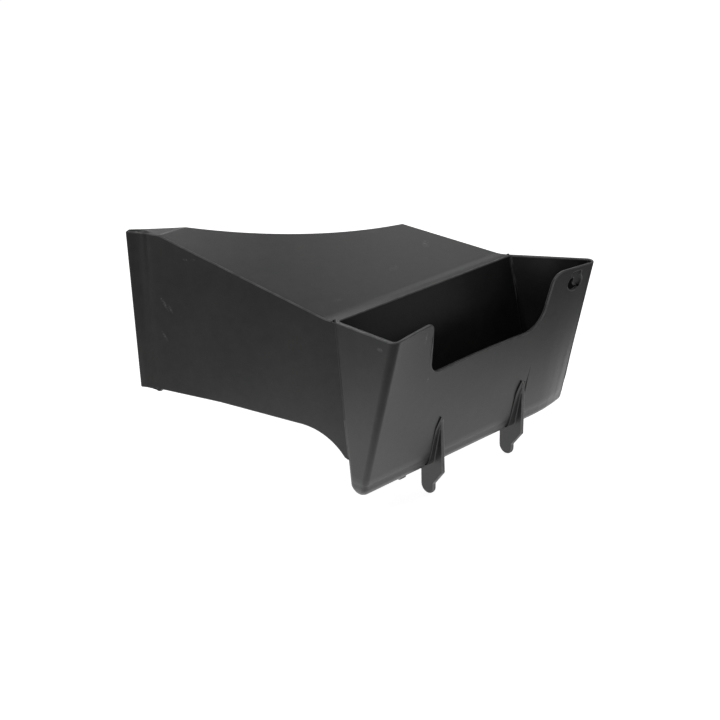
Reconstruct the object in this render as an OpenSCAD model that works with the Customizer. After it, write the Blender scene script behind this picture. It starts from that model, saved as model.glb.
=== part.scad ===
// Mulching plug for a walk-behind mower: one moulded shell that fills the rear
// discharge opening. A V-shaped hand pocket faces the operator, a hollow body
// behind it reaches to the blade housing, and two tabs hook over the deck's edge.
// Axes: +X along the pocket's front rim, +Y towards the blade, +Z up.

/* [Hand pocket] */
// Length of the front rim between its sharp corners
rim_length = 180; // [165:1:200]
// How far the front rim bows towards the blade at its middle
rim_bow = 8.6; // [4:0.2:12]
// Depth of the pocket from its rim to its underside
pocket_depth = 106.5; // [98:0.5:116]
// Distance from the front rim's corner to the back of the pocket at the rim
pocket_reach = 50.3; // [47:0.1:54]
// How far the front wall has moved back at the pocket's underside
front_set_back = 32; // [27:0.5:33.5]
// How much less it has moved back at its right end
front_twist = 3.9; // [0:0.3:5.1]
// How far the back wall has come forward at the pocket's underside
back_lean = 6.8; // [3:0.2:9]
// How far the left end has moved inwards at the pocket's underside
left_draft = 2; // [0:0.2:4]
// How far the right wall's front has moved outwards at the underside
right_flare = 36.4; // [32:0.4:38]
// How far the right wall's back has moved outwards at the underside
back_flare = 11.6; // [8:0.4:16]
// Angle of the right wall in plan at the rim, measured from the Y axis
right_angle = 33.2; // [31:0.2:35]
// Radius of the rounded underside
keel_radius = 6.3; // [5.3:0.25:7.3]
// Rounding of the pocket's two ends where they meet the underside
end_round = 4; // [2:0.5:6]

/* [Pocket corners] */
// Front left corner radius at the rim
left_corner_top = 4.5; // [3:0.25:7]
// Front left corner radius at the underside
left_corner_low = 3; // [2.8:0.2:4]
// Back left corner radius below the body
back_corner = 4.5; // [3:0.25:6]
// Front right corner radius at the rim
right_corner_top = 5; // [3.5:0.25:6]
// Front right corner radius at the underside
right_corner_low = 6; // [4:0.5:9]
// How far the front wall has rolled back at the underside of its right end
corner_roll = 8; // [6:0.5:9]
// Length over which the front wall rolls back towards the right end
roll_length = 34; // [30:1:44]

/* [Hand notch] */
// Left side of the notch at the rim, from the rim's left corner
notch_left = 36.5; // [32:0.5:42]
// Right side of the notch at the rim, from the rim's left corner
notch_right = 140.4; // [134:0.4:144]
// Depth of the notch below the rim
notch_depth = 36; // [28:1:44]
// Lean of the notch's left side
notch_lean_left = 9; // [4:0.5:14]
// Lean of the notch's right side
notch_lean_right = 6; // [2:0.5:14]
// Radius of the notch's left floor corner
notch_radius_left = 10; // [6:0.5:12]
// Radius of the notch's right floor corner
notch_radius_right = 14; // [8:0.5:17]
// Radius at which the notch's left side turns out into the rim
notch_turn_left = 5.5; // [3:0.25:7]
// Radius at which the notch's right side turns out into the rim
notch_turn_right = 8.5; // [5:0.25:10]

/* [Body] */
// Wall thickness of the whole moulding
wall = 2.6; // [2:0.1:3.2]
// Radius of the blade housing that the rear wall continues
housing_radius = 268.7; // [255:1:285]
// Middle of the housing circle in X
housing_x = 151.3; // [140:0.5:160]
// Middle of the housing circle in Y
housing_y = 371.1; // [365:0.5:380]
// Angle of the left wall in plan, measured from the Y axis
left_angle = 17.7; // [14:0.1:21]
// Length of the left wall up to its upright fold
left_length = 125; // [115:1:128]
// How much further the strip behind the fold turns outwards
fold_angle = 11; // [5:0.5:18]
// Length of the strip behind the fold
strip_length = 11.9; // [9:0.1:14]
// Length of the flat end face that joins the strip to the rear wall
strip_end = 4.6; // [3.4:0.2:6]
// Height of the bottom edge below the rim
skirt_depth = 66.3; // [58:0.5:74]
// How much lower the bottom edge lies where it starts to turn down
skirt_fall = 2.5; // [0:0.25:4]
// Radius at which the bottom edge turns down to the pocket
skirt_radius = 34; // [30:0.5:38]
// Distance in Y from the rim's corner to the lowest point of that bend
skirt_bend = 74.5; // [70:0.5:78]

/* [Roof] */
// Slope of the roof up to its ridge
roof_slope = 17.9; // [15:0.1:21]
// Distance in Y from the rim's corner to the ridge
ridge_reach = 159.4; // [150:0.5:166]
// Radius at which the roof rises from the pocket's rim
roof_fillet = 20; // [12:1:28]

/* [Hook tabs] */
// Thickness of each tab
tab_thickness = 2.4; // [2:0.1:3.6]
// Middle of the left tab from the rim's left corner
tab_left = 60.5; // [48:0.5:70]
// Distance between the two tabs
tab_spacing = 71.4; // [60:0.5:84]
// Depth below the rim at which a tab leaves the front wall
tab_start = 74; // [66:0.5:82]
// How far the tab's nose stands out from the front wall
tab_nose = 9.7; // [7:0.1:10.5]
// Angle of the shoulder from the nose down to the tongue
shoulder_angle = 52.5; // [42:0.5:56]
// Depth of the nose below the rim
nose_depth = 109; // [106:0.5:112]
// Width of the tongue that hangs below the pocket
tongue_width = 10.8; // [9:0.2:12]
// Depth of the tongue's tip below the rim
tongue_depth = 127; // [122:0.5:134]
// Distance in Y from the rim's corner to the tongue's front edge
tongue_front = 30.8; // [29:0.2:33]

/* [Small features] */
// Width of the catch recess's neck near the right end of the rim
catch_neck = 6.8; // [5:0.2:8]
// Radius of the catch recess's round end
catch_radius = 5.4; // [4.4:0.1:6.2]
// Depth of the round end's middle below the rim
catch_depth = 10.8; // [9.6:0.2:14]
// Middle of the catch recess from the rim's left corner
catch_middle = 158.6; // [155:0.2:160]
// Depth of the catch recess into the front wall
catch_sink = 1.5; // [0.8:0.1:1.7]
// Radius of the catch tongue that leaves a crescent opening on its left
catch_tongue = 3.3; // [2.7:0.1:3.9]
// Length of each locating peg under the pocket
peg_length = 5.5; // [4:0.5:8]
// Radius of each locating peg
peg_radius = 1.8; // [1.4:0.1:2.4]
// How far the pegs' axis lies below the pocket's underside
peg_drop = 0.9; // [0.3:0.1:1.1]
// Middle between the two locating pegs from the rim's left corner
peg_middle = 92.5; // [88:0.5:97]
// Distance of each locating peg from the middle between them
peg_offset = 54.1; // [45:0.2:58]
// Radius of the foot under the left wall
foot_radius = 3.5; // [3:0.25:5]
// How far the foot stands below the bottom edge
foot_drop = 1.7; // [1:0.1:2.4]

/* [Hidden] */

tab_right = tab_left + tab_spacing;
// The frame's origin lies midway between the noses of the two tabs.
nose_y = front_y(-nose_depth) - tab_nose;
origin = [(tab_left + tab_right) / 2, nose_y, -nose_depth];

crease_y = pocket_reach;
roof_start = pocket_reach;
// Height at which the underside starts to round off.
keel_z = keel_radius - pocket_depth;
keel_y = (front_y(keel_z) + back_y(keel_z)) / 2;
// Run of the bottom edge that slopes down to the bend.
skirt_run = 52;
// Height over which the bottom edge turns down before it is inside the pocket,
// and the turn that it has made by then.
skirt_drop = 16;
skirt_turn = acos((skirt_radius - skirt_drop) / skirt_radius);
// Distance of the catch recess below the rim, and where its tongue's round end
// lies from the middle of the recess.
catch_rim = 3.3;
catch_tongue_x = 2.4;
catch_tongue_z = -0.4;
nose_round = 1.5;
// Share of a gusset's length by which it is carried on inside the front wall.
root_share = 0.2;

// Smallest corner radii of the pocket's outline, and the shares of its half
// width that the corners may take up.
least_radius = 0.4;
least_right = 0.8;
least_limit = 0.12;
left_share = 0.9;
right_share = 0.5;
back_share = 0.6;
// How far the body's solid runs into the pocket at the roof, at its left wall
// and at its right wall. Its top stays rim_step below the rim there.
roof_overlap = 20;
left_overlap = 12;
right_overlap = 6;
rim_step = 0.4;

side_steps = 5;
front_steps = 20;
round_steps = 16;
keel_steps = 6;
circle_steps = 48;
// Turn of the underside's rounding on each side of its narrow flat.
keel_turn = 78;
over = 1;
// Lengths that run past the part, in plan and all round.
notch_run = 100;
plan_run = 90;
reach_far = 400;

// Share of the way down from the rim to the underside.
function down(z) = -z / pocket_depth;
function front_y(z) = front_set_back * down(z);
function back_y(z) = pocket_reach - back_lean * down(z);
function left_x(z) = left_draft * down(z);

// Y of the front wall's outside at the given place.
function wall_y(x, z) =
    let (along = x / rim_length)
    front_y(z) - front_twist * down(z) * along + rim_bow * (1 - down(z)) * 4 * along * (1 - along);

// X of the right wall at its front and its back, and how much X it loses for
// each step in Y at the given height.
function right_front_x(z) = rim_length + right_flare * down(z) - front_y(z) * tan(right_angle);
function right_back_x(z) = rim_length + back_flare * down(z) - back_y(z) * tan(right_angle);
function right_lean(z) = (right_front_x(z) - right_back_x(z)) / (back_y(z) - front_y(z));

function unit(v) = v / norm(v);

// Points of a fillet at the corner c between sides that leave along a and b.
function fillet_points(c, a, b, r, steps) =
    let (half = acos(a * b) / 2)
    let (mid = c + unit(a + b) * r / sin(half))
    let (from = c + a * r / tan(half) - mid)
    let (to = c + b * r / tan(half) - mid)
    let (start = atan2(from[1], from[0]))
    let (turn = atan2(from[0] * to[1] - from[1] * to[0], from * to))
    [for (i = [0:steps]) mid + r * [cos(start + turn * i / steps), sin(start + turn * i / steps)]];

// Pulls the section together where the underside rounds off. t runs from 0 at
// the start of the rounding to 1 at the lowest point.
function keel_drop(t, r) = r * sin(keel_turn * t) / sin(keel_turn);
function keel_share(t) = cos(keel_turn * t);

// Outline of the pocket at height z, moved inwards by inset. share narrows it
// about its middle line for the rounded underside.
function pocket_section(z, inset, share) =
    let (v = down(z))
    let (y_front = front_y(z) + inset)
    let (y_back = back_y(z) - inset)
    let (y_mid = (y_front + y_back) / 2)
    let (half = (y_back - y_front) / 2 * share)
    let (y0 = y_mid - half)
    let (y1 = y_mid + half)
    let (pinch = end_round * (1 - share))
    let (lean = right_lean(z))
    let (right_way = unit([-lean, 1]))
    let (base = right_front_x(z) + front_y(z) * lean - inset / right_way[1] - pinch)
    let (x0 = left_x(z) + inset + pinch)
    let (x1 = base - y0 * lean)
    let (x2 = base - y1 * lean)
    let (bow = rim_bow * (1 - v) * share)
    let (twist = front_twist * v * share)
    let (length = x1 - x0)
    let (roll = corner_roll * v * share)
    let (start_slope = (4 * bow - twist) / length)
    let (end_slope = (-4 * bow - twist) / length + 2 * roll / roll_length)
    let (corner = [x1 - (roll - twist) * lean, y0 + roll - twist])
    let (end_way = unit([-1, -end_slope]))
    let (limit = max(least_limit, half * left_share))
    let (r_left = min(limit,
        max(least_radius, left_corner_top + (left_corner_low - left_corner_top) * v - inset)))
    let (r_back = min(limit, max(least_radius, back_corner - inset)))
    let (r_right = min(limit * right_share,
        max(least_right, right_corner_top + (right_corner_low - right_corner_top) * v - inset)))
    let (reach_back = r_right / tan(acos(end_way * right_way) / 2))
    let (xa = x0 + r_left)
    let (xb = corner[0] - reach_back)
    concat(
        fillet_points([x0, y1], [1, 0], [0, -1], r_back, side_steps),
        fillet_points([x0, y0], [0, 1], unit([1, start_slope]), r_left, side_steps),
        [for (i = [1:front_steps - 1])
            let (x = xa + (xb - xa) * i / front_steps)
            let (u = (x - x0) / length)
            let (w = max(0, x - corner[0] + roll_length) / roll_length)
            [x, y0 + 4 * bow * u * (1 - u) - twist * u + roll * w * w]],
        fillet_points(corner, end_way, right_way, r_right, round_steps),
        fillet_points([x2, y1], -right_way, [-1, 0], r_right * back_share, side_steps));

// Solid between a stack of outlines that all have the same number of points.
module loft(outlines, heights) {
    count = len(outlines[0]);
    layers = len(heights);
    points = [for (k = [0:layers - 1]) for (p = outlines[k]) [p[0], p[1], heights[k]]];
    sides = [for (k = [0:layers - 2]) for (i = [0:count - 1])
        let (j = (i + 1) % count)
        each [[k * count + i, (k + 1) * count + i, (k + 1) * count + j],
            [k * count + i, (k + 1) * count + j, k * count + j]]];
    low_cap = [for (i = [0:count - 1]) i];
    high_cap = [for (i = [0:count - 1]) layers * count - 1 - i];
    polyhedron(points = points, faces = concat([low_cap], sides, [high_cap]));
}

// The pocket as one solid, moved inwards by inset and rising to the height top.
module pocket_solid(inset, top) {
    radius = keel_radius - inset;
    shares = [for (i = [keel_steps:-1:0]) i / keel_steps];
    heights = concat([for (t = shares) keel_z - keel_drop(t, radius)], [top]);
    outlines = concat(
        [for (t = shares) pocket_section(keel_z, inset, keel_share(t))],
        [pocket_section(top, inset, 1)]);
    loft(outlines, heights);
}

// Plan of the body, moved inwards by inset.
module body_plan(inset) {
    left_way = [-sin(left_angle), cos(left_angle)];
    left_in = [cos(left_angle), sin(left_angle)];
    strip_turn = left_angle + fold_angle;
    strip_way = [-sin(strip_turn), cos(strip_turn)];
    strip_in = [cos(strip_turn), sin(strip_turn)];
    right_way = [-sin(right_angle), cos(right_angle)];
    right_in = [-cos(right_angle), -sin(right_angle)];
    crease = [0, crease_y];
    fold = crease + left_way * left_length;
    miter = inset * tan(fold_angle / 2);
    tip = fold + strip_way * strip_length;
    heel = tip + strip_in * strip_end;
    right_base = [rim_length - pocket_reach * tan(right_angle), pocket_reach];
    difference() {
        polygon([
            crease + left_in * inset - left_way * left_overlap,
            fold + left_in * inset - left_way * miter,
            tip + strip_in * inset - strip_way * inset,
            heel - strip_way * inset,
            [housing_x, housing_y],
            right_base + right_in * inset + right_way * plan_run,
            right_base + right_in * inset - right_way * right_overlap]);
        translate([housing_x, housing_y])
            circle(r = housing_radius + inset, $fn = 360);
    }
}

// Side view of the body in Y and Z, with the roof lowered by inset. The floor
// of the hollow is left open by running it past the bottom edge.
module body_profile(inset) {
    rise = roof_fillet * (1 - cos(roof_slope));
    bend = roof_start + roof_fillet * sin(roof_slope);
    ridge_z = rise + (ridge_reach - bend) * tan(roof_slope);
    roof_line = [for (i = [0:round_steps])
        let (turn = roof_slope * i / round_steps)
        [roof_start + (roof_fillet + inset) * sin(turn), roof_fillet - (roof_fillet + inset) * cos(turn)]];
    bend_z = -skirt_depth - skirt_fall - skirt_radius;
    skirt_line = [for (i = [0:round_steps])
        let (turn = skirt_turn * i / round_steps)
        [skirt_bend - skirt_radius * sin(turn), bend_z + skirt_radius * cos(turn)]];
    polygon(concat(
        [[roof_start - roof_overlap, -inset - rim_step],
            [roof_start - rim_step, -inset - rim_step],
            [roof_start - rim_step, -inset]],
        roof_line,
        [[ridge_reach + inset * tan(roof_slope / 2), ridge_z - inset], [reach_far, ridge_z - inset]],
        inset > 0
            ? [[reach_far, -2 * pocket_depth], [roof_start - roof_overlap, -2 * pocket_depth]]
            : concat(
                [[reach_far, -skirt_depth], [skirt_bend + skirt_run, -skirt_depth]],
                skirt_line,
                [[roof_start - roof_overlap, skirt_line[round_steps][1]]])));
}

// The body as one solid, moved inwards by inset.
module body_solid(inset) {
    intersection() {
        translate([0, 0, -2 * pocket_depth])
            linear_extrude(height = 3 * pocket_depth) body_plan(inset);
        translate([-reach_far / 2, 0, 0])
            rotate([90, 0, 90])
            linear_extrude(height = 2 * reach_far) body_profile(inset);
    }
}

// Fills the notch in the front wall, seen from the front, and runs a little
// above the rim.
module notch_outline() {
    left_up = [-sin(notch_lean_left), cos(notch_lean_left)];
    right_up = [sin(notch_lean_right), cos(notch_lean_right)];
    rim_left = [notch_left, 0];
    rim_right = [notch_right, 0];
    floor_left = rim_left - left_up * notch_depth / cos(notch_lean_left);
    floor_right = rim_right - right_up * notch_depth / cos(notch_lean_right);
    left_turn = fillet_points(rim_left, [-1, 0], -left_up, notch_turn_left, round_steps);
    right_turn = fillet_points(rim_right, -right_up, [1, 0], notch_turn_right, round_steps);
    polygon(concat(
        [left_turn[0] + [0, over]],
        left_turn,
        fillet_points(floor_left, left_up, [1, 0], notch_radius_left, round_steps),
        fillet_points(floor_right, [-1, 0], right_up, notch_radius_right, round_steps),
        right_turn,
        [right_turn[round_steps] + [0, over]]));
}

module hand_notch() {
    translate([0, (roof_start + rim_bow) / 2, 0])
        rotate([90, 0, 0])
        linear_extrude(height = notch_run) notch_outline();
}

// Places its children on the outside of the front wall, with their own Z axis
// pointing out of the wall and their Y axis up along it.
module on_front_wall(x, z) {
    share = x / rim_length;
    turn = atan(4 * rim_bow * (1 - down(z)) * (1 - 2 * share) / rim_length);
    lean = atan(front_set_back / pocket_depth);
    translate([x, wall_y(x, z), z])
        rotate([90 + lean, 0, turn])
        children();
}

// A sunk keyhole shape near the rim's right end. A tongue fills the right of its
// round end, and the crescent left of the tongue is open through the wall.
module catch_recess() {
    on_front_wall(catch_middle, -catch_depth) {
        translate([0, 0, -catch_sink])
            linear_extrude(height = catch_radius) {
                circle(r = catch_radius, $fn = circle_steps);
                translate([-catch_neck / 2, 0])
                    square([catch_neck, catch_depth - catch_rim]);
            }
        translate([0, 0, -2 * wall])
            linear_extrude(height = catch_radius)
            difference() {
                circle(r = catch_radius, $fn = circle_steps);
                translate([catch_tongue_x, catch_tongue_z])
                    circle(r = catch_tongue, $fn = circle_steps);
                translate([catch_tongue_x - catch_tongue, catch_tongue_z])
                    square(2 * catch_radius);
                translate([-catch_radius, catch_radius / 2])
                    square(2 * catch_radius);
            }
    }
}

// One hook tab: a gusset that grows out of the front wall, a nose with a sloping
// shoulder and a round-ended tongue that hangs below the pocket.
module hook_tab(x) {
    start = [wall_y(x, -tab_start), -tab_start];
    nose = [nose_y, -nose_depth];
    root = start + (start - nose) * root_share;
    shoulder_way = [cos(shoulder_angle), -sin(shoulder_angle)];
    heel = nose + shoulder_way * (tongue_front - nose_y) / cos(shoulder_angle);
    tip_radius = tongue_width / 2;
    translate([x - tab_thickness / 2, 0, 0])
        rotate([90, 0, 90])
        linear_extrude(height = tab_thickness) {
            polygon(concat(
                [root],
                fillet_points(nose, unit(root - nose), shoulder_way, nose_round, side_steps),
                fillet_points(heel, -shoulder_way, [0, -1], nose_round, side_steps),
                [[tongue_front, tip_radius - tongue_depth],
                    [tongue_front + tongue_width, tip_radius - tongue_depth],
                    [tongue_front + tongue_width, keel_z],
                    [tongue_front, keel_z]]));
            translate([tongue_front + tip_radius, tip_radius - tongue_depth])
                circle(r = tip_radius, $fn = circle_steps);
        }
}

// A short round peg along the pocket's lowest line.
module locating_peg(x) {
    translate([x - peg_length / 2, keel_y, -pocket_depth - peg_drop])
        rotate([0, 90, 0])
        cylinder(r = peg_radius, h = peg_length, $fn = circle_steps);
}

// A low round foot in the left wall, at its upright fold.
module skirt_foot() {
    fold_x = -left_length * sin(left_angle);
    fold_y = crease_y + left_length * cos(left_angle);
    translate([fold_x, fold_y, foot_radius - foot_drop - skirt_depth])
        rotate([0, 0, left_angle])
        rotate([0, 90, 0])
        cylinder(r = foot_radius, h = wall, $fn = circle_steps);
}

module mulching_plug() {
    color("dimgray")
        translate(-origin)
        difference() {
            union() {
                difference() {
                    body_solid(0);
                    body_solid(wall);
                }
                pocket_solid(0, 0);
                for (x = [tab_left, tab_right]) hook_tab(x);
                for (side = [-1, 1]) locating_peg(peg_middle + side * peg_offset);
                skirt_foot();
            }
            pocket_solid(wall, over);
            hand_notch();
            catch_recess();
        }
}

mulching_plug();
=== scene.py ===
"""Studio scene of a black moulded mulching plug for a walk-behind mower."""

import logging
import math
from dataclasses import dataclass, field
from enum import Enum

import bmesh
import bpy
import numpy as np
from mathutils import Matrix, Vector
from mathutils.bvhtree import BVHTree
from mathutils.geometry import delaunay_2d_cdt


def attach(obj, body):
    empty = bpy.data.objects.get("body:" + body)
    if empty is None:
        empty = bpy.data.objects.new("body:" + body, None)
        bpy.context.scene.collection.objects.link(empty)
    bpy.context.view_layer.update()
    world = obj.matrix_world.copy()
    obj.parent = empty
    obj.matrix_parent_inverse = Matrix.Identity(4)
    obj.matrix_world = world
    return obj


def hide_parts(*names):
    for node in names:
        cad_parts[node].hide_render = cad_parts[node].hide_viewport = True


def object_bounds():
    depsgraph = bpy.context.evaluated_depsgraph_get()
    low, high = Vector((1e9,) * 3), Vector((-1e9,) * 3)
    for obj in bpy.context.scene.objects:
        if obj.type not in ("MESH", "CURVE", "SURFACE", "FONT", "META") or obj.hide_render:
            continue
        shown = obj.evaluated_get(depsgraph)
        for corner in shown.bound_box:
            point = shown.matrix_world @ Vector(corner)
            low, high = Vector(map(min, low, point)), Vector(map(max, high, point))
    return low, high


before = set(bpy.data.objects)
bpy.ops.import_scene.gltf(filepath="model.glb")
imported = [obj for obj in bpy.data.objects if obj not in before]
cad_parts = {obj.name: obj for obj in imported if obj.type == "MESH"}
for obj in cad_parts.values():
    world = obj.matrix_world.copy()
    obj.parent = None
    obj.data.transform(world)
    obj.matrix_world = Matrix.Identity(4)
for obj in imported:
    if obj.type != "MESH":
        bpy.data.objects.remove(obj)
cad_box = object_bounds()

logging.basicConfig(level=logging.INFO, format="%(message)s")
LOG = logging.getLogger("plug")

MM = 0.001
CAD_NODE = "mulching_plug"
BODY = "root"
# The left corner of the pocket's rim, measured from the frame's origin.
RIM_CORNER = Vector((-96.2, -23.05, 109.0)) * MM


def from_rim(x: float, y: float, z: float) -> Vector:
    """Turn a place measured in millimetres from the rim's left corner into the frame.

    Args:
        x: Millimetres along the rim.
        y: Millimetres towards the blade housing.
        z: Millimetres above the rim.

    Returns:
        The same place in metres, from the frame's origin.
    """
    return RIM_CORNER + Vector((x, y, z)) * MM


class Side(Enum):
    """Walls of the plug that carry marks, by the way they face."""

    ROOF = (0.0, -0.31, 0.95)
    LONG_WALL = (-0.953, -0.304, 0.0)
    POCKET_END = (-1.0, 0.0, -0.02)
    FRONT = (0.0, -0.96, -0.29)


@dataclass(frozen=True)
class Rub:
    """A pale rub mark on the moulding."""

    side: Side
    centre: Vector
    along: Vector
    length: float
    width: float
    strength: float


@dataclass
class NodeSheet:
    """A shader node tree with short calls for adding and joining nodes."""

    tree: bpy.types.NodeTree

    def add(self, kind: str, **inputs: object) -> bpy.types.Node:
        """Add a node and set its properties or its unlinked inputs.

        Args:
            kind: Blender's name of the node class.
            **inputs: Property names, or input names with underscores for blanks.

        Returns:
            The new node.
        """
        node = self.tree.nodes.new(kind)
        for name, value in inputs.items():
            if hasattr(node, name):
                setattr(node, name, value)
            else:
                node.inputs[name.replace("_", " ")].default_value = value
        return node

    def join(self, source: bpy.types.NodeSocket, target: bpy.types.NodeSocket) -> None:
        """Link an output to an input."""
        self.tree.links.new(source, target)

    def maths(self, operation: str, first: object, second: object = 0.0) -> bpy.types.NodeSocket:
        """Add a Math node whose inputs are sockets or plain numbers.

        Args:
            operation: Name of the operation.
            first: Socket or number for the first input.
            second: Socket or number for the second input.

        Returns:
            The node's output.
        """
        node = self.add("ShaderNodeMath", operation=operation)
        for index, value in enumerate((first, second)):
            if isinstance(value, bpy.types.NodeSocket):
                self.join(value, node.inputs[index])
            else:
                node.inputs[index].default_value = value
        return node.outputs[0]


@dataclass(frozen=True)
class MouldedPlastic:
    """Semi-matte black polypropylene with a spark-eroded grain, haze, pale rubs, and pale edges that are partly wear
    and partly a painted highlight.
    """

    name: str = "black_moulded_plastic"
    colour: tuple[float, float, float] = (0.034, 0.034, 0.035)
    haze_colour: tuple[float, float, float] = (0.053, 0.052, 0.051)
    # Pale colour of the rubs, also used for the edges, where it is partly a painted highlight.
    rub_and_highlight_colour: tuple[float, float, float] = (0.24, 0.24, 0.24)
    roughness: float = 0.36
    grain_size: float = 0.9 * MM
    grain_height: float = 0.035 * MM
    # Strength of the pale edges, which are partly wear and partly a painted highlight.
    wear_and_highlight: float = 0.95
    groove_depth: float = 3.6 * MM
    groove_width: float = 5.5 * MM
    groove_lean: float = 0.045
    groove_place: Vector = field(default_factory=lambda: from_rim(-39.8, 175.1, 0.0))
    rubs: tuple[Rub, ...] = ()

    def rub_mask(self, sheet: NodeSheet, place: bpy.types.NodeSocket) -> bpy.types.NodeSocket:
        """Build one mask that is bright on every rub mark.

        Args:
            sheet: The material's node sheet.
            place: Socket with the place in object coordinates.

        Returns:
            Socket with the strongest mark at each place, from 0 to 1.
        """
        streaks = sheet.add("ShaderNodeTexNoise", Scale=900.0, Detail=3.0, Roughness=0.7)
        sheet.join(place, streaks.inputs["Vector"])
        broken = sheet.add("ShaderNodeMapRange", From_Min=0.42, From_Max=0.62)
        sheet.join(streaks.outputs["Fac"], broken.inputs["Value"])
        total: object = 0.0
        for rub in self.rubs:
            facing = Vector(rub.side.value).normalized()
            run = (rub.along - facing * rub.along.dot(facing)).normalized()
            turn = Matrix((run, facing.cross(run), facing)).transposed().to_euler()
            local = sheet.add("ShaderNodeMapping", vector_type="TEXTURE")
            local.inputs["Location"].default_value = rub.centre
            local.inputs["Rotation"].default_value = turn
            local.inputs["Scale"].default_value = (rub.length / 2, rub.width / 2, 2.2 * MM)
            sheet.join(place, local.inputs["Vector"])
            spot = sheet.add("ShaderNodeTexGradient", gradient_type="SPHERICAL")
            sheet.join(local.outputs["Vector"], spot.inputs["Vector"])
            mark = sheet.maths("MULTIPLY", spot.outputs["Fac"], rub.strength)
            total = sheet.maths("MAXIMUM", mark, total)
        return sheet.maths("MULTIPLY", total, broken.outputs["Result"])

    def build(self) -> bpy.types.Material:
        """Make the material.

        Returns:
            The finished material.
        """
        material = bpy.data.materials.new(self.name)
        material.use_nodes = True
        tree = material.node_tree
        tree.nodes.clear()
        sheet = NodeSheet(tree)
        place = sheet.add("ShaderNodeTexCoord").outputs["Object"]
        skin = sheet.add("ShaderNodeBsdfPrincipled", Roughness=self.roughness, IOR=1.49)
        result = sheet.add("ShaderNodeOutputMaterial")
        sheet.join(skin.outputs[0], result.inputs["Surface"])

        haze = sheet.add("ShaderNodeTexNoise", Scale=16.0, Detail=5.0, Roughness=0.62)
        sheet.join(place, haze.inputs["Vector"])
        mottle = sheet.add("ShaderNodeTexNoise", Scale=150.0, Detail=4.0, Roughness=0.7)
        sheet.join(place, mottle.inputs["Vector"])
        cloudy = sheet.maths("ADD", sheet.maths("MULTIPLY", haze.outputs["Fac"], 0.6),
                             sheet.maths("MULTIPLY", mottle.outputs["Fac"], 0.4))
        haze_share = sheet.add("ShaderNodeMapRange", From_Min=0.38, From_Max=0.66)
        sheet.join(cloudy, haze_share.inputs["Value"])
        tint = sheet.add("ShaderNodeMix", data_type="RGBA")
        tint.inputs["A"].default_value = (*self.colour, 1.0)
        tint.inputs["B"].default_value = (*self.haze_colour, 1.0)
        sheet.join(haze_share.outputs["Result"], tint.inputs["Factor"])

        # Pale rubs, plus pale edges that are partly wear and partly a painted highlight.
        rub_and_highlight_mix = sheet.add("ShaderNodeMix", data_type="RGBA")
        rub_and_highlight_mix.inputs["B"].default_value = (*self.rub_and_highlight_colour, 1.0)
        sheet.join(tint.outputs["Result"], rub_and_highlight_mix.inputs["A"])
        pale = sheet.maths("MAXIMUM", self.rub_mask(sheet, place), self.edge_wear_and_highlight(sheet, place))
        sheet.join(pale, rub_and_highlight_mix.inputs["Factor"])
        sheet.join(rub_and_highlight_mix.outputs["Result"], skin.inputs["Base Color"])

        gloss = sheet.add("ShaderNodeMapRange", To_Min=self.roughness - 0.05, To_Max=self.roughness + 0.09)
        sheet.join(cloudy, gloss.inputs["Value"])
        sheet.join(gloss.outputs["Result"], skin.inputs["Roughness"])

        grain = sheet.add("ShaderNodeTexNoise", Scale=1.0 / self.grain_size, Detail=4.0, Roughness=0.6)
        sheet.join(place, grain.inputs["Vector"])
        bump = sheet.add("ShaderNodeBump", Strength=0.55, Distance=self.grain_height)
        sheet.join(grain.outputs["Fac"], bump.inputs["Height"])
        groove = sheet.add("ShaderNodeBump", Strength=1.0, Distance=self.groove_depth)
        groove.invert = True
        sheet.join(self.groove(sheet, place), groove.inputs["Height"])
        sheet.join(bump.outputs["Normal"], groove.inputs["Normal"])
        sheet.join(groove.outputs["Normal"], skin.inputs["Normal"])
        return material

    def edge_wear_and_highlight(self, sheet: NodeSheet, place: bpy.types.NodeSocket) -> bpy.types.NodeSocket:
        """Build the pale edges: wear along the rounded edges, together with a painted highlight where those edges
        catch the light.

        Args:
            sheet: The material's node sheet.
            place: Socket with the place in object coordinates.

        Returns:
            Socket with the share of pale wear and painted highlight, from 0 to 1.
        """
        # Edge faces marked for pale paint: partly wear, partly a painted highlight.
        worn_and_highlit = sheet.add("ShaderNodeAttribute", attribute_name="worn_and_highlit")
        uneven = sheet.add("ShaderNodeTexNoise", Scale=120.0, Detail=3.0, Roughness=0.6)
        sheet.join(place, uneven.inputs["Vector"])
        share = sheet.add("ShaderNodeMapRange", From_Min=0.3, From_Max=0.7, To_Min=self.wear_and_highlight * 0.4, To_Max=self.wear_and_highlight)
        sheet.join(uneven.outputs["Fac"], share.inputs["Value"])
        return sheet.maths("MULTIPLY", worn_and_highlit.outputs["Fac"], share.outputs["Result"])

    def groove(self, sheet: NodeSheet, place: bpy.types.NodeSocket) -> bpy.types.NodeSocket:
        """Build the soft groove that runs down the long wall beside its rear fold.

        Args:
            sheet: The material's node sheet.
            place: Socket with the place in object coordinates.

        Returns:
            Socket with the groove's profile, from 0 to 1.
        """
        facing = Vector(Side.LONG_WALL.value).normalized()
        run = Vector((facing.y, -facing.x, self.groove_lean))
        share: object = 1.0
        for way, width in ((run, self.groove_width), (facing, 2.5 * MM)):
            along = sheet.add("ShaderNodeVectorMath", operation="DOT_PRODUCT")
            sheet.join(place, along.inputs[0])
            along.inputs[1].default_value = way
            away = sheet.maths("DIVIDE", sheet.maths("SUBTRACT", along.outputs["Value"],
                                                     self.groove_place.dot(way)), width)
            bell = sheet.maths("POWER", math.e, sheet.maths("MULTIPLY", sheet.maths("MULTIPLY", away, away), -1.0))
            share = sheet.maths("MULTIPLY", bell, share)
        return share


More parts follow.
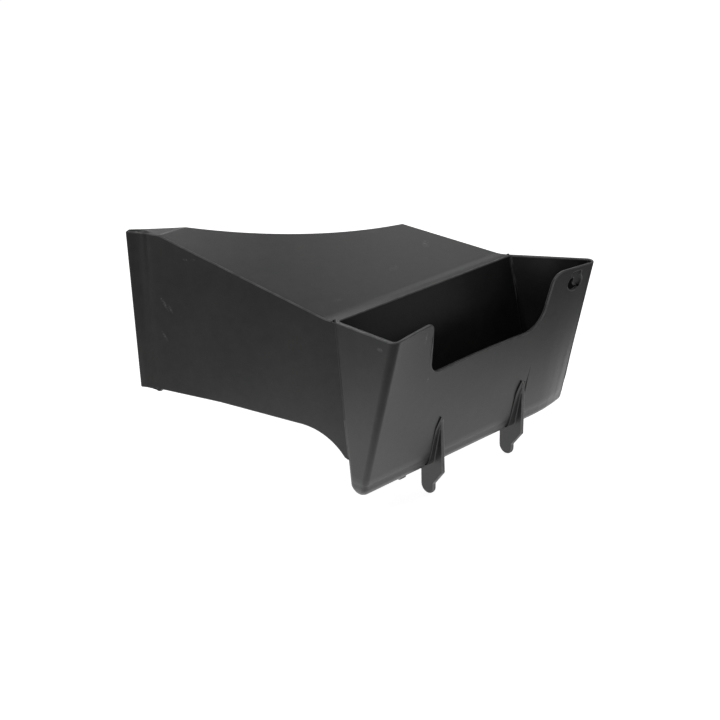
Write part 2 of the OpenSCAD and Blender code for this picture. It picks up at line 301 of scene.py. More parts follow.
def turn_points(corner: np.ndarray, first: np.ndarray, second: np.ndarray, radius: float,
                steps: int) -> tuple[np.ndarray, np.ndarray]:
    """Round the corner between two sides of an outline.

    Args:
        corner: The sharp corner.
        first: Unit direction of the side that the rounding starts on, away from the corner.
        second: Unit direction of the side that it ends on, away from the corner.
        radius: Radius of the rounding.
        steps: Number of steps.

    Returns:
        The points, and the direction of travel at each.
    """
    half = math.acos(float(first @ second)) / 2
    bisector = (first + second) / np.linalg.norm(first + second)
    middle = corner + bisector * radius / math.sin(half)
    start = corner + first * radius / math.tan(half) - middle
    end = corner + second * radius / math.tan(half) - middle
    begin = math.atan2(start[1], start[0])
    turn = math.atan2(start[0] * end[1] - start[1] * end[0], float(start @ end))
    angles = begin + turn * np.linspace(0.0, 1.0, steps + 1)
    points = middle + radius * np.stack([np.cos(angles), np.sin(angles)], axis=1)
    travel = np.sign(turn) * np.stack([-np.sin(angles), np.cos(angles)], axis=1)
    return points, travel


@dataclass(frozen=True)
class PocketSweep:
    """The hand pocket's wall, swept from its rim to its rounded underside, in millimetres."""

    inset: float
    top: float
    length: float = 180.0
    bow: float = 8.6
    depth: float = 106.5
    reach: float = 50.3
    set_back: float = 32.0
    twist: float = 3.9
    back_lean: float = 6.8
    left_draft: float = 2.0
    front_flare: float = 36.4
    back_flare: float = 11.6
    right_slope: float = math.tan(math.radians(33.2))
    keel_radius: float = 6.3
    keel_turn: float = math.radians(78.0)
    end_round: float = 4.0
    left_corner: tuple[float, float] = (4.5, 3.0)
    back_corner: float = 4.5
    right_corner: tuple[float, float] = (5.0, 6.0)
    roll: float = 8.0
    roll_length: float = 34.0
    front_steps: int = 80
    turn_steps: int = 20
    soft_height: float = 6.0
    soft_tilt: float = 2.2

    @property
    def keel_z(self) -> float:
        """Height at which the underside starts to round off."""
        return self.keel_radius - self.depth

    def outline(self, height: float, share: float) -> tuple[np.ndarray, np.ndarray]:
        """Draw the wall's outline at a height.

        Args:
            height: Height above the rim.
            share: Share of the full depth from front to back, below 1 in the rounded underside.

        Returns:
            The outline's points, and the direction of travel at each.
        """
        v = -height / self.depth
        front, back = self.set_back * v, self.reach - self.back_lean * v
        middle, half = (front + back) / 2, (back - front - 2 * self.inset) / 2 * share
        y0, y1 = middle - half, middle + half
        front_x = self.length + self.front_flare * v - front * self.right_slope
        back_x = self.length + self.back_flare * v - back * self.right_slope
        lean = (front_x - back_x) / (back - front)
        right = np.array([-lean, 1.0]) / math.hypot(lean, 1.0)
        pinch = self.end_round * (1 - share)
        base = front_x + front * lean - self.inset / right[1] - pinch
        x0, x1, x2 = self.left_draft * v + self.inset + pinch, base - y0 * lean, base - y1 * lean
        span, bow = x1 - x0, self.bow * (1 - v) * share
        twist, roll = self.twist * v * share, self.roll * v * share
        start_slope = (4 * bow - twist) / span
        end_slope = (-4 * bow - twist) / span + 2 * roll / self.roll_length
        corner = np.array([x1 - (roll - twist) * lean, y0 + roll - twist])
        end_way = -np.array([1.0, end_slope]) / math.hypot(1.0, end_slope)
        start_way = np.array([1.0, start_slope]) / math.hypot(1.0, start_slope)
        limit = max(0.12, half * 0.9)
        left, low = self.left_corner
        r_left = min(limit, max(0.4, left + (low - left) * v - self.inset))
        r_back = min(limit, max(0.4, self.back_corner - self.inset))
        wide, low = self.right_corner
        r_right = min(limit * 0.5, max(0.8, wide + (low - wide) * v - self.inset))
        xa = x0 + r_left
        xb = corner[0] - r_right / math.tan(math.acos(float(end_way @ right)) / 2)
        x = np.linspace(xa, xb, self.front_steps + 1)[1:-1]
        u = (x - x0) / span
        w = np.maximum(0.0, x - corner[0] + self.roll_length) / self.roll_length
        y = y0 + 4 * bow * u * (1 - u) - twist * u + roll * w * w
        slope = (4 * bow * (1 - 2 * u) - twist) / span + 2 * roll * w / self.roll_length
        way = np.stack([np.ones_like(slope), slope], axis=1) / np.hypot(1.0, slope)[:, None]
        left_way, up, down = np.array([-1.0, 0.0]), np.array([0.0, 1.0]), np.array([0.0, -1.0])
        parts = (
            turn_points(np.array([x0, y1]), -left_way, down, r_back, self.turn_steps),
            turn_points(np.array([x0, y0]), up, start_way, r_left, self.turn_steps),
            (np.stack([x, y], axis=1), way),
            turn_points(corner, end_way, right, r_right, self.turn_steps),
            turn_points(np.array([x2, y1]), -right, left_way, r_right * 0.6, self.turn_steps),
        )
        return np.vstack([p for p, _ in parts]), np.vstack([d for _, d in parts])

    def layer(self, height: float) -> tuple[np.ndarray, np.ndarray, np.ndarray]:
        """Cut the swept wall at a height.

        Args:
            height: Height above the rim.

        Returns:
            Points, directions of travel and directions down the wall at one height.
        """
        low, low_way = self.outline(self.keel_z, 1.0)
        top, top_way = self.outline(self.top, 1.0)
        fall = np.column_stack([low - top, np.full(len(low), self.keel_z - self.top)])
        fall /= np.linalg.norm(fall, axis=1)[:, None]
        if height >= self.keel_z:
            s = (self.top - height) / (self.top - self.keel_z)
            return top * (1 - s) + low * s, top_way * (1 - s) + low_way * s, fall
        radius = self.keel_radius - self.inset
        sine = min(1.0, (self.keel_z - height) / radius) * math.sin(self.keel_turn)
        turn = math.asin(min(1.0, sine))
        points, way = self.outline(self.keel_z, math.cos(turn))
        step = math.radians(1.0)
        ahead, _ = self.outline(self.keel_z, math.cos(turn + step))
        drop = radius * (math.sin(turn) - math.sin(turn + step)) / math.sin(self.keel_turn)
        run = np.column_stack([ahead - points, np.full(len(points), drop)])
        run /= np.linalg.norm(run, axis=1)[:, None]
        blend = min(1.0, turn / math.radians(30.0))
        return points, way, fall * (1 - blend) + run * blend

    def normal_at(self, place: np.ndarray, reach: float = 1.25) -> np.ndarray | None:
        """Find the wall's smooth normal at a place.

        Args:
            place: X, Y and Z in millimetres from the rim's left corner.
            reach: Furthest that the place may lie from the wall.

        Returns:
            The normal, or None where the place isn't on the wall.
        """
        if not self.keel_z - self.keel_radius + self.inset + 0.05 < place[2] < self.top + 0.01:
            return None
        points, way, fall = self.layer(float(place[2]))
        after = np.roll(points, -1, axis=0)
        side = after - points
        size = np.maximum((side ** 2).sum(axis=1), 1e-12)
        along = np.clip(((place[:2] - points) * side).sum(axis=1) / size, 0.0, 1.0)
        gap = np.linalg.norm(points + side * along[:, None] - place[:2], axis=1)
        nearest = int(gap.argmin())
        if gap[nearest] > reach:
            return None
        t = along[nearest]
        following = (nearest + 1) % len(points)
        travel = way[nearest] * (1 - t) + way[following] * t
        down_wall = fall[nearest] * (1 - t) + fall[following] * t
        normal = np.cross(down_wall, [travel[0], travel[1], 0.0])
        normal /= np.linalg.norm(normal)
        return -normal if self.inset > 0 else normal

    def soften(self, normal: np.ndarray, height: float) -> np.ndarray:
        """Turn an outside normal down near the underside, as the worn tool leaves it.

        Args:
            normal: The wall's normal.
            height: Height above the rim.

        Returns:
            The normal to shade with.
        """
        share = (self.keel_z + self.soft_height - height) / (self.soft_height + 4.0)
        if self.inset > 0 or share <= 0:
            return normal
        turned = normal - np.array([0.0, 0.0, self.soft_tilt * min(1.0, share) ** 2])
        return turned / np.linalg.norm(turned)


@dataclass
class EdgeSoftener:
    """Geometry Nodes tree that welds the facets, smooths the sweeps and marks the edges to round."""

    weld: float = 0.004 * MM
    smooth_angle: float = math.radians(8.5)
    round_angle: float = math.radians(8.5)

    def sizes(self) -> dict[str, float]:
        """Name the tree's inputs and their values."""
        return {"Weld distance": self.weld, "Smooth angle": self.smooth_angle, "Round angle": self.round_angle}

    def build(self, material: bpy.types.Material) -> bpy.types.NodeTree:
        """Make the tree with its sizes as named inputs.

        Args:
            material: Material given to the result.

        Returns:
            The node group.
        """
        tree = bpy.data.node_groups.new("soften_moulding", "GeometryNodeTree")
        tree.interface.new_socket("Geometry", in_out="INPUT", socket_type="NodeSocketGeometry")
        for name in self.sizes():
            tree.interface.new_socket(name, in_out="INPUT", socket_type="NodeSocketFloat")
        tree.interface.new_socket("Geometry", in_out="OUTPUT", socket_type="NodeSocketGeometry")
        sheet = NodeSheet(tree)
        given = sheet.add("NodeGroupInput")
        merge = sheet.add("GeometryNodeMergeByDistance")
        faces = sheet.add("GeometryNodeSetShadeSmooth", domain="FACE")
        edges = sheet.add("GeometryNodeSetShadeSmooth", domain="EDGE")
        turn = sheet.add("GeometryNodeInputMeshEdgeAngle")
        gentle = sheet.add("FunctionNodeCompare", data_type="FLOAT", operation="LESS_THAN")
        sharp = sheet.add("FunctionNodeCompare", data_type="FLOAT", operation="GREATER_THAN")
        swept = sheet.add("GeometryNodeInputNamedAttribute", data_type="FLOAT")
        swept.inputs["Name"].default_value = "swept"
        mixed = sheet.add("FunctionNodeCompare", data_type="FLOAT", operation="LESS_THAN")
        mixed.inputs["B"].default_value = 0.99
        both = sheet.add("FunctionNodeBooleanMath", operation="AND")
        weight = sheet.add("GeometryNodeStoreNamedAttribute", data_type="FLOAT", domain="EDGE")
        weight.inputs["Name"].default_value = "bevel_weight_edge"
        whole = sheet.add("GeometryNodeRealizeInstances")
        paint = sheet.add("GeometryNodeSetMaterial")
        paint.inputs["Material"].default_value = material
        result = sheet.add("NodeGroupOutput")
        sheet.join(given.outputs["Geometry"], merge.inputs["Geometry"])
        sheet.join(given.outputs["Weld distance"], merge.inputs["Distance"])
        sheet.join(merge.outputs["Geometry"], faces.inputs["Geometry"])
        sheet.join(faces.outputs["Geometry"], edges.inputs["Geometry"])
        sheet.join(turn.outputs["Unsigned Angle"], gentle.inputs["A"])
        sheet.join(given.outputs["Smooth angle"], gentle.inputs["B"])
        sheet.join(gentle.outputs["Result"], edges.inputs["Shade Smooth"])
        sheet.join(turn.outputs["Unsigned Angle"], sharp.inputs["A"])
        sheet.join(given.outputs["Round angle"], sharp.inputs["B"])
        sheet.join(swept.outputs["Attribute"], mixed.inputs["A"])
        sheet.join(sharp.outputs["Result"], both.inputs[0])
        sheet.join(mixed.outputs["Result"], both.inputs[1])
        sheet.join(both.outputs["Boolean"], weight.inputs["Value"])
        sheet.join(edges.outputs["Geometry"], weight.inputs["Geometry"])
        sheet.join(weight.outputs["Geometry"], whole.inputs["Geometry"])
        sheet.join(whole.outputs["Geometry"], paint.inputs["Geometry"])
        sheet.join(paint.outputs["Geometry"], result.inputs["Geometry"])
        return tree

    def add_to(self, piece: bpy.types.Object, material: bpy.types.Material) -> None:
        """Put the tree on a piece as a modifier.

        Args:
            piece: Object whose mesh is welded, smoothed and marked.
            material: Material given to the result.
        """
        tree = self.build(material)
        modifier = piece.modifiers.new("soften", "NODES")
        modifier.node_group = tree
        sizes = self.sizes()
        for item in tree.interface.items_tree:
            if item.in_out == "INPUT" and item.name in sizes:
                modifier[item.identifier] = sizes[item.name]


@dataclass
class PlugMoulding:
    """The whole moulding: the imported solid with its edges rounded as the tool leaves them."""

    edge_radius: float = 0.8 * MM
    edge_segments: int = 3
    stray: float = 0.55 * MM
    proud: float = 0.34 * MM
    # Widest face counted as a pale edge, painted partly as wear and partly as highlight.
    pale_edge_width: float = 0.8 * MM
    shortest_edge: float = 0.15 * MM
    same_face: float = math.cos(math.radians(24.0))
    most_sides: int = 8
    wall_area: float = 1000.0 * MM * MM
    finish: MouldedPlastic = field(default_factory=MouldedPlastic)
    softener: EdgeSoftener = field(default_factory=EdgeSoftener)
    sweeps: tuple[PocketSweep, ...] = (PocketSweep(0.0, 0.0), PocketSweep(2.6, 1.0))
    cuts: tuple[float, ...] = (-30.0, -60.0, -85.0, -93.2, -96.7)

    def copy_solid(self) -> bpy.types.Object:
        """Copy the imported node's mesh into a new piece.

        Returns:
            The new object.
        """
        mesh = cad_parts[CAD_NODE].data.copy()
        mesh.materials.clear()
        piece = bpy.data.objects.new("plug_moulding", mesh)
        bpy.context.scene.collection.objects.link(piece)
        return piece

    def join_flats(self, piece: bpy.types.Object) -> None:
        """Join the triangles of each flat wall, so that edges can be rounded cleanly.

        Args:
            piece: Object whose mesh is edited.
        """
        work = bmesh.new()
        work.from_mesh(piece.data)
        bmesh.ops.remove_doubles(work, verts=work.verts, dist=self.softener.weld)
        flat = [e for e in work.edges if len(e.link_faces) == 2
                and e.link_faces[0].normal.angle(e.link_faces[1].normal, 1.0) < math.radians(0.03)]
        bmesh.ops.dissolve_edges(work, edges=flat, use_verts=False, use_face_split=False)
        bmesh.ops.dissolve_degenerate(work, edges=work.edges, dist=self.shortest_edge)
        work.to_mesh(piece.data)
        work.free()

    def sweep_normals(self, mesh: bpy.types.Mesh) -> list[list[tuple[np.ndarray, np.ndarray]]]:
        """Find the smooth wall normals at each vertex.

        Args:
            mesh: The moulding's mesh.

        Returns:
            For each vertex, the true and the shading normals of the pocket walls that it lies on.
        """
        places = np.empty(len(mesh.vertices) * 3)
        mesh.vertices.foreach_get("co", places)
        places = (places.reshape(-1, 3) - np.array(RIM_CORNER)) / MM
        found = []
        for place in places:
            normals = [(sweep, sweep.normal_at(place)) for sweep in self.sweeps]
            found.append([(n, sweep.soften(n, float(place[2]))) for sweep, n in normals if n is not None])
        return found

    def mark_swept_faces(self, piece: bpy.types.Object) -> None:
        """Mark the faces that lie on the pocket's swept walls.

        Args:
            piece: Object whose faces are marked.
        """
        mesh = piece.data
        normals = self.sweep_normals(mesh)
        marks = [float(all(any(n @ np.array(face.normal) > self.same_face for n, _ in normals[v])
                           for v in face.vertices)) for face in mesh.polygons]
        swept = mesh.attributes.new("swept", "FLOAT", "FACE")
        swept.data.foreach_set("value", marks)
        LOG.info("%s: %d of %d faces on the pocket's walls", piece.name, int(sum(marks)), len(marks))

    def cut_swept_faces(self, piece: bpy.types.Object) -> None:
        """Cut the pocket's walls at a few heights, so that their shading can bend there.

        Args:
            piece: Object whose mesh is edited.
        """
        work = bmesh.new()
        work.from_mesh(piece.data)
        swept = work.faces.layers.float["swept"]
        for height in self.cuts:
            faces = [f for f in work.faces if f[swept] > 0.99]
            parts = faces + list({e for f in faces for e in f.edges}) + list({v for f in faces for v in f.verts})
            bmesh.ops.bisect_plane(work, geom=parts, dist=self.softener.weld, plane_co=from_rim(0.0, 0.0, height),
                                   plane_no=(0.0, 0.0, 1.0))
        work.to_mesh(piece.data)
        work.free()

    def round_edges(self, piece: bpy.types.Object) -> None:
        """Add a small rounding to every marked edge.

        Args:
            piece: Object that gets the rounding.
        """
        bevel = piece.modifiers.new("edge_rounding", "BEVEL")
        bevel.width = self.edge_radius
        bevel.segments = self.edge_segments
        bevel.limit_method = "WEIGHT"
        bevel.use_clamp_overlap = False
        bevel.harden_normals = True
        bevel.miter_outer = "MITER_ARC"

    def bake(self, piece: bpy.types.Object) -> None:
        """Turn the modifiers' result into the piece's plain mesh, with flowing normals.

        Args:
            piece: Object whose modifiers are baked.
        """
        graph = bpy.context.evaluated_depsgraph_get()
        made = bpy.data.meshes.new_from_object(piece.evaluated_get(graph))
        piece.modifiers.clear()
        piece.data = made
        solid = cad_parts[CAD_NODE].data
        surface = BVHTree.FromPolygons([v.co for v in solid.vertices], [f.vertices for f in solid.polygons])
        self.pull_in_strays(made, surface)
        self.mark_worn_and_highlit_faces(made, surface)
        normals = self.sweep_normals(made)
        corners = [np.array(n.vector) for n in made.corner_normals]
        for face in made.polygons:
            wall = face.area > self.wall_area and face.loop_total > self.most_sides
            for index in face.loop_indices:
                walls = normals[made.loops[index].vertex_index]
                shading = next((s for n, s in walls if n @ corners[index] > self.same_face), None)
                if shading is not None:
                    corners[index] = shading
                elif wall:
                    corners[index] = np.array(face.normal)
        piece.data = self.fill_walls(made, corners)

    def fill_walls(self, mesh: bpy.types.Mesh, corners: list[np.ndarray]) -> bpy.types.Mesh:
        """Make the mesh again with its many-sided walls filled by triangles inside their outlines.

        Args:
            mesh: The baked mesh.
            corners: Normal of each face corner.

        Returns:
            The new mesh, with its normals set.
        """
        places = [v.co.copy() for v in mesh.vertices]
        marks = mesh.attributes["worn_and_highlit"].data
        faces, normals, worn_and_highlit = [], [], []
        for face in mesh.polygons:
            ring = list(face.vertices)
            known = {v: tuple(corners[i]) for v, i in zip(ring, face.loop_indices)}
            parts = self.fill(ring, places, face.normal) if len(ring) > self.most_sides else [ring]
            for part in parts:
                faces.append(part)
                worn_and_highlit.append(marks[face.index].value)
                normals.extend(known.get(v, tuple(face.normal)) for v in part)
        filled = bpy.data.meshes.new("plug_moulding")
        filled.from_pydata(places, [], faces)
        for material in mesh.materials:
            filled.materials.append(material)
        filled.shade_smooth()
        filled.attributes.new("worn_and_highlit", "FLOAT", "FACE").data.foreach_set("value", worn_and_highlit)
        filled.normals_split_custom_set(normals)
        return filled

    def fill(self, ring: list[int], places: list[Vector], normal: Vector) -> list[list[int]]:
        """Fill one outline with triangles, also where it crosses itself at a tight corner.

        Args:
            ring: The outline's vertices.
            places: Places of all vertices, extended by the places of crossings.
            normal: The face's normal.

        Returns:
            The triangles.
        """
        turn = normal.rotation_difference(Vector((0.0, 0.0, 1.0)))
        flat = [turn @ places[v] for v in ring]
        height = sum(p.z for p in flat) / len(flat)
        outline = [p.to_2d() / MM for p in flat]
        points, _, parts, origins, _, _ = delaunay_2d_cdt(outline, [], [list(range(len(ring)))], 1, 0.001)
        found = []
        for point, origin in zip(points, origins):
            if origin:
                found.append(ring[origin[0]])
            else:
                found.append(len(places))
                places.append(turn.inverted() @ Vector((point.x * MM, point.y * MM, height)))
        return [[found[i] for i in part] for part in parts]

    def pull_in_strays(self, mesh: bpy.types.Mesh, surface: BVHTree) -> None:
        """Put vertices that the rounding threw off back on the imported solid's surface.

        Args:
            mesh: The baked mesh.
            surface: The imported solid's surface.
        """
        strays = 0
        for vertex in mesh.vertices:
            place, normal, _, distance = surface.find_nearest(vertex.co)
            if distance > self.stray or (vertex.co - place).dot(normal) > self.proud:
                vertex.co = place
                strays += 1
        mesh.update()
        LOG.info("%s: %d stray vertices pulled in", mesh.name, strays)

    def mark_worn_and_highlit_faces(self, mesh: bpy.types.Mesh, surface: BVHTree) -> None:
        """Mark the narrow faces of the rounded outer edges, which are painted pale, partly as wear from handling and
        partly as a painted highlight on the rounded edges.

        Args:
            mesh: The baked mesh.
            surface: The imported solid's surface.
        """
        worn_and_highlit = []
        for face in mesh.polygons:
            place, normal, _, _ = surface.find_nearest(face.center)
            ring = [mesh.vertices[v].co for v in face.vertices]
            longest = max((a - b).length for a, b in zip(ring, ring[1:] + ring[:1]))
            outer = (face.center - place).dot(normal) < 0 and face.area < self.pale_edge_width * longest
            # Outer rounded edge faces get pale paint: partly wear, partly a painted highlight.
            worn_and_highlit.append(float(outer and face.normal.angle(normal, 0.0) > math.radians(11.0)))
        mesh.attributes.new("worn_and_highlit", "FLOAT", "FACE").data.foreach_set("value", worn_and_highlit)
        mesh.attributes.remove(mesh.attributes["swept"])
        LOG.info("%s: %d worn edge faces", mesh.name, int(sum(worn_and_highlit)))

    def build(self) -> bpy.types.Object:
        """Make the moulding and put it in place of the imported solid.

        Returns:
            The finished piece.
        """
        material = self.finish.build()
        piece = self.copy_solid()
        piece.data.materials.append(material)
        self.join_flats(piece)
        self.mark_swept_faces(piece)
        self.cut_swept_faces(piece)
        self.softener.add_to(piece, material)
        self.round_edges(piece)
        self.bake(piece)
        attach(piece, BODY)
        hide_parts(CAD_NODE)
        LOG.info("%s: %d faces", piece.name, len(piece.data.polygons))
        return piece


@dataclass
class JointBead:
    """A fine bead that runs down the wall beside a hook tab, made by a Geometry Nodes sweep."""

    name: str
    path: tuple[tuple[float, float, float], ...]
    radius: float = 0.42 * MM
    spacing: float = 0.8 * MM

    def build(self, material: bpy.types.Material) -> bpy.types.Object:
        """Sweep a round profile along the path and bake it.

        Args:
            material: Material of the bead.

        Returns:
            The finished bead.
        """
        points = [from_rim(*point) for point in self.path]
        mesh = bpy.data.meshes.new(self.name)
        mesh.from_pydata(points, [(i, i + 1) for i in range(len(points) - 1)], [])
        bead = bpy.data.objects.new(self.name, mesh)
        bpy.context.scene.collection.objects.link(bead)
        tree = bpy.data.node_groups.new(f"{self.name}_sweep", "GeometryNodeTree")
        tree.interface.new_socket("Geometry", in_out="INPUT", socket_type="NodeSocketGeometry")
        for name in ("Radius", "Spacing"):
            tree.interface.new_socket(name, in_out="INPUT", socket_type="NodeSocketFloat")
        tree.interface.new_socket("Geometry", in_out="OUTPUT", socket_type="NodeSocketGeometry")
        sheet = NodeSheet(tree)
        given = sheet.add("NodeGroupInput")
        line = sheet.add("GeometryNodeMeshToCurve")
        kind = sheet.add("GeometryNodeCurveSplineType", spline_type="CATMULL_ROM")
        even = sheet.add("GeometryNodeResampleCurve", mode="LENGTH")
        round_profile = sheet.add("GeometryNodeCurvePrimitiveCircle")
        round_profile.inputs["Resolution"].default_value = 10
        sweep = sheet.add("GeometryNodeCurveToMesh")
        sweep.inputs["Fill Caps"].default_value = True
        soft = sheet.add("GeometryNodeSetShadeSmooth")
        whole = sheet.add("GeometryNodeRealizeInstances")
        paint = sheet.add("GeometryNodeSetMaterial")
        paint.inputs["Material"].default_value = material
        result = sheet.add("NodeGroupOutput")
        sheet.join(given.outputs["Geometry"], line.inputs["Mesh"])
        sheet.join(line.outputs["Curve"], kind.inputs["Curve"])
        sheet.join(kind.outputs["Curve"], even.inputs["Curve"])
        sheet.join(given.outputs["Spacing"], even.inputs["Length"])
        sheet.join(given.outputs["Radius"], round_profile.inputs["Radius"])
        sheet.join(even.outputs["Curve"], sweep.inputs["Curve"])
        sheet.join(round_profile.outputs["Curve"], sweep.inputs["Profile Curve"])
        sheet.join(sweep.outputs["Mesh"], soft.inputs["Geometry"])
        sheet.join(soft.outputs["Geometry"], whole.inputs["Geometry"])
        sheet.join(whole.outputs["Geometry"], paint.inputs["Geometry"])
        sheet.join(paint.outputs["Geometry"], result.inputs["Geometry"])
        modifier = bead.modifiers.new("sweep", "NODES")
        modifier.node_group = tree
        for item in tree.interface.items_tree:
            if item.in_out == "INPUT" and item.name in ("Radius", "Spacing"):
                modifier[item.identifier] = self.radius if item.name == "Radius" else self.spacing
        graph = bpy.context.evaluated_depsgraph_get()
        made = bpy.data.meshes.new_from_object(bead.evaluated_get(graph))
        bead.modifiers.clear()
        bead.data = made
        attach(bead, BODY)
        LOG.info("%s: %d faces", bead.name, len(bead.data.polygons))
        return bead


@dataclass
class Lamp:
    """A rectangular studio lamp aimed at the plug."""

    name: str
    place: tuple[float, float, float]
    size: tuple[float, float]
    power: float

    def build(self, target: Vector) -> bpy.types.Object:
        """Make the lamp and aim it.

        Args:
            target: Place that the lamp points at.

        Returns:
            The lamp's object.
        """
        light = bpy.data.lights.new(self.name, "AREA")
        light.shape = "RECTANGLE"
        light.size, light.size_y = self.size
        light.energy = self.power
        lamp = bpy.data.objects.new(self.name, light)
        lamp.location = self.place
        lamp.rotation_euler = (target - Vector(self.place)).to_track_quat("-Z", "Y").to_euler()
        bpy.context.scene.collection.objects.link(lamp)
        return lamp


@dataclass
class Studio:
    """Pale floor under a pool of light, plain world, soft lamps and the camera."""

    floor_size: float = 8.0
    floor_colour: float = 0.9
    floor_seen: float = 0.92
    pool_centre: tuple[float, float] = (0.0, 0.08)
    pool_stretch: float = 1.6
    pool_inner: float = 0.1
    pool_outer: float = 0.2
    pool_glow: float = 0.62
    pool_mirror: float = 0.97
    world_level: float = 0.09
    world_mirror: float = 0.14
    azimuth: float = math.radians(42.652)
    pitch: float = math.radians(23.739)
    roll: float = math.radians(-1.939)
    lens: float = 72.375
    camera_place: Vector = field(default_factory=lambda: from_rim(-492.0, -506.0, 302.3))
    lamps: tuple[Lamp, ...] = (
        Lamp("back_lamp", (-0.62, 1.09, 0.99), (0.6, 0.6), 2.7),
        Lamp("far_lamp", (0.56, 1.09, 0.99), (0.6, 0.6), 3.0),
        Lamp("right_lamp", (0.58, 0.37, 0.6), (0.3, 0.3), 0.45),
        Lamp("top_lamp", (-0.90, -0.09, 1.26), (0.5, 0.5), 3.0),
        Lamp("rim_lamp", (0.99, -0.52, 0.99), (0.4, 0.4), 0.8),
    )

    def level_by_ray(self, sheet: NodeSheet, seen: float, mirrored: object, other: object) -> bpy.types.NodeSocket:
        """Choose a light level by the kind of ray that asks for it.

        Args:
            sheet: Node sheet of the floor or the world.
            seen: Level for camera rays.
            mirrored: Level for glossy and transmission rays.
            other: Level for all other rays.

        Returns:
            Socket with the level.
        """
        path = sheet.add("ShaderNodeLightPath")
        mirror = sheet.maths("MAXIMUM", path.outputs["Is Glossy Ray"], path.outputs["Is Transmission Ray"])
        camera = path.outputs["Is Camera Ray"]
        rest = sheet.maths("SUBTRACT", 1.0, sheet.maths("MAXIMUM", mirror, camera))
        level = sheet.maths("MULTIPLY", camera, seen)
        level = sheet.maths("ADD", level, sheet.maths("MULTIPLY", mirror, mirrored))
        return sheet.maths("ADD", level, sheet.maths("MULTIPLY", rest, other))

    def light_pool(self, sheet: NodeSheet) -> bpy.types.NodeSocket:
        """Build the pool of light on the floor, full in the middle and fading outwards.

        Args:
            sheet: The floor's node sheet.

        Returns:
            Socket with the share of light, from 0 to 1.
        """
        local = sheet.add("ShaderNodeMapping", vector_type="TEXTURE")
        local.inputs["Location"].default_value = (*self.pool_centre, cad_box[0].z)
        local.inputs["Scale"].default_value = (self.pool_outer * self.pool_stretch, self.pool_outer, self.pool_outer)
        sheet.join(sheet.add("ShaderNodeTexCoord").outputs["Object"], local.inputs["Vector"])
        disc = sheet.add("ShaderNodeTexGradient", gradient_type="SPHERICAL")
        sheet.join(local.outputs["Vector"], disc.inputs["Vector"])
        fade = sheet.add("ShaderNodeMapRange", interpolation_type="SMOOTHSTEP",
                         From_Max=1.0 - self.pool_inner / self.pool_outer)
        sheet.join(disc.outputs["Fac"], fade.inputs["Value"])
        return fade.outputs["Result"]

    def build_floor(self, height: float) -> bpy.types.Object:
        """Make the floor at a height.

        Args:
            height: Height of the floor in the frame.

        Returns:
            The floor.
        """
        half = self.floor_size / 2
        mesh = bpy.data.meshes.new("floor")
        corners = [(-half, -half, height), (half, -half, height), (half, half, height), (-half, half, height)]
        mesh.from_pydata(corners, [], [(0, 1, 2, 3)])
        floor = bpy.data.objects.new("floor", mesh)
        bpy.context.scene.collection.objects.link(floor)
        material = bpy.data.materials.new("pale_floor")
        material.use_nodes = True
        material.node_tree.nodes.clear()
        sheet = NodeSheet(material.node_tree)
        matte = sheet.add("ShaderNodeBsdfDiffuse", Color=(self.floor_colour,) * 3 + (1.0,))
        pool = self.light_pool(sheet)
        level = self.level_by_ray(sheet, self.floor_seen, sheet.maths("MULTIPLY", pool, self.pool_mirror),
                                  sheet.maths("MULTIPLY", pool, self.pool_glow))
        glow = sheet.add("ShaderNodeEmission")
        sheet.join(level, glow.inputs["Strength"])
        both = sheet.add("ShaderNodeAddShader")
        sheet.join(matte.outputs[0], both.inputs[0])
        sheet.join(glow.outputs[0], both.inputs[1])
        result = sheet.add("ShaderNodeOutputMaterial")
        sheet.join(both.outputs[0], result.inputs["Surface"])
        mesh.materials.append(material)
        return floor

    def build_world(self) -> None:
        """Make the world's even light and its white background."""
        world = bpy.data.worlds.new("studio_world")
        bpy.context.scene.world = world
        world.use_nodes = True
        world.node_tree.nodes.clear()
        sheet = NodeSheet(world.node_tree)
        even = sheet.add("ShaderNodeBackground")
        sheet.join(self.level_by_ray(sheet, 1.0, self.world_mirror, self.world_level), even.inputs["Strength"])
        result = sheet.add("ShaderNodeOutputWorld")
        sheet.join(even.outputs[0], result.inputs["Surface"])

    def build_camera(self) -> bpy.types.Object:
        """Make the camera at the photograph's viewing angle.

        Returns:
            The camera's object.
        """
        sa, ca = math.sin(self.azimuth), math.cos(self.azimuth)
        sp, cp = math.sin(self.pitch), math.cos(self.pitch)
        ahead = Vector((sa * cp, ca * cp, -sp))
        level_right = Vector((ca, -sa, 0.0))
        level_up = Vector((sa * sp, ca * sp, cp))
        right = level_right * math.cos(self.roll) + level_up * math.sin(self.roll)
        up = right.cross(ahead)
        data = bpy.data.cameras.new("camera")
        data.lens = self.lens
        data.sensor_width = 36.0
        camera = bpy.data.objects.new("camera", data)
        turn = Matrix((right, up, -ahead)).transposed().to_4x4()
        camera.matrix_world = Matrix.Translation(self.camera_place) @ turn
        bpy.context.scene.collection.objects.link(camera)
        bpy.context.scene.camera = camera
        return camera

    def build(self) -> None:
        """Make the whole studio around the plug."""
        low, high = cad_box
        self.build_floor(low.z)
        self.build_world()
        middle = (low + high) / 2
        for lamp in self.lamps:
            lamp.build(middle)
        self.build_camera()
        bpy.context.scene.view_settings.view_transform = "Standard"


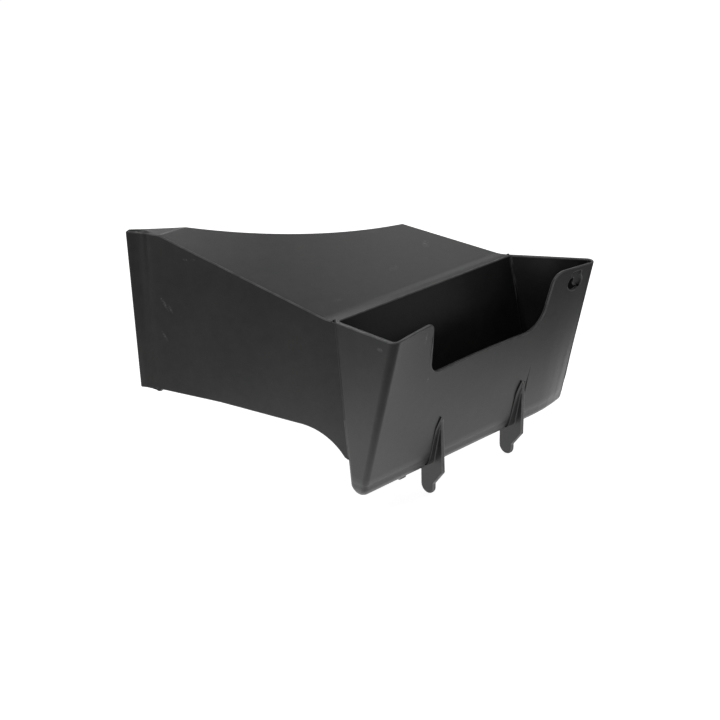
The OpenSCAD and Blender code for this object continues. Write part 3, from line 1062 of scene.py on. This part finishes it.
def rub_marks() -> tuple[Rub, ...]:
    """List the pale rubs that handling has left on the plug.

    Returns:
        The marks, strongest first.
    """
    up = Vector((0.0, 0.0, 1.0))
    back = Vector((0.0, 1.0, 0.0))
    across = Vector((1.0, 0.4, 0.0))
    slope = Vector((0.1, -0.5, -0.8))
    return (
        Rub(Side.FRONT, from_rim(30.4, 6.7, -7.5), up, 9 * MM, 2.5 * MM, 0.9),
        Rub(Side.FRONT, from_rim(39.3, 15.0, -38.0), up, 5 * MM, 2 * MM, 0.8),
        Rub(Side.POCKET_END, from_rim(0.1, 12.0, -6.4), across, 6 * MM, 3 * MM, 0.8),
        Rub(Side.LONG_WALL, from_rim(-35.0, 159.5, -8.2), slope, 13 * MM, 3 * MM, 0.8),
        Rub(Side.LONG_WALL, from_rim(-33.6, 155.5, -11.2), slope, 7 * MM, 2.5 * MM, 0.7),
        Rub(Side.LONG_WALL, from_rim(-35.3, 161.2, -29.5), slope, 9 * MM, 2.5 * MM, 0.7),
        Rub(Side.LONG_WALL, from_rim(-29.2, 142.0, 21.7), back, 6 * MM, 1.6 * MM, 0.7),
        Rub(Side.LONG_WALL, from_rim(-27.7, 137.2, 22.5), back, 4 * MM, 1.6 * MM, 0.7),
        Rub(Side.ROOF, from_rim(108.5, 82.6, 9.4), Vector((-0.75, -0.66, 0.0)), 11 * MM, 6 * MM, 0.6),
        Rub(Side.ROOF, from_rim(71.0, 72.6, 6.2), Vector((1.0, 0.2, 0.0)), 10 * MM, 5 * MM, 0.4),
        Rub(Side.ROOF, from_rim(87.9, 106.9, 17.3), Vector((1.0, 0.0, 0.0)), 9 * MM, 4 * MM, 0.3),
        Rub(Side.ROOF, from_rim(18.0, 64.3, 3.5), Vector((1.0, 0.0, 0.0)), 8 * MM, 4 * MM, 0.3),
    )


def joint_beads() -> tuple[JointBead, ...]:
    """List the beads beside the two hook tabs.

    Returns:
        One bead for each tab.
    """
    return (
        JointBead("left_tab_bead", ((58.2, 22.7, -71.0), (55.6, 24.2, -77.5), (55.1, 26.1, -86.0),
                                    (55.0, 28.3, -95.5), (54.0, 29.5, -101.0), (51.5, 29.9, -103.0))),
        JointBead("right_tab_bead", ((128.8, 21.6, -71.0), (126.2, 23.0, -77.5), (125.6, 25.0, -86.0),
                                     (125.2, 27.0, -95.5), (124.2, 28.2, -101.0), (121.8, 28.6, -103.0))),
    )


def main() -> None:
    """Build the plug and its studio."""
    moulding = PlugMoulding(finish=MouldedPlastic(rubs=rub_marks())).build()
    for bead in joint_beads():
        bead.build(moulding.active_material)
    Studio().build()


if __name__ == "__main__":
    main()
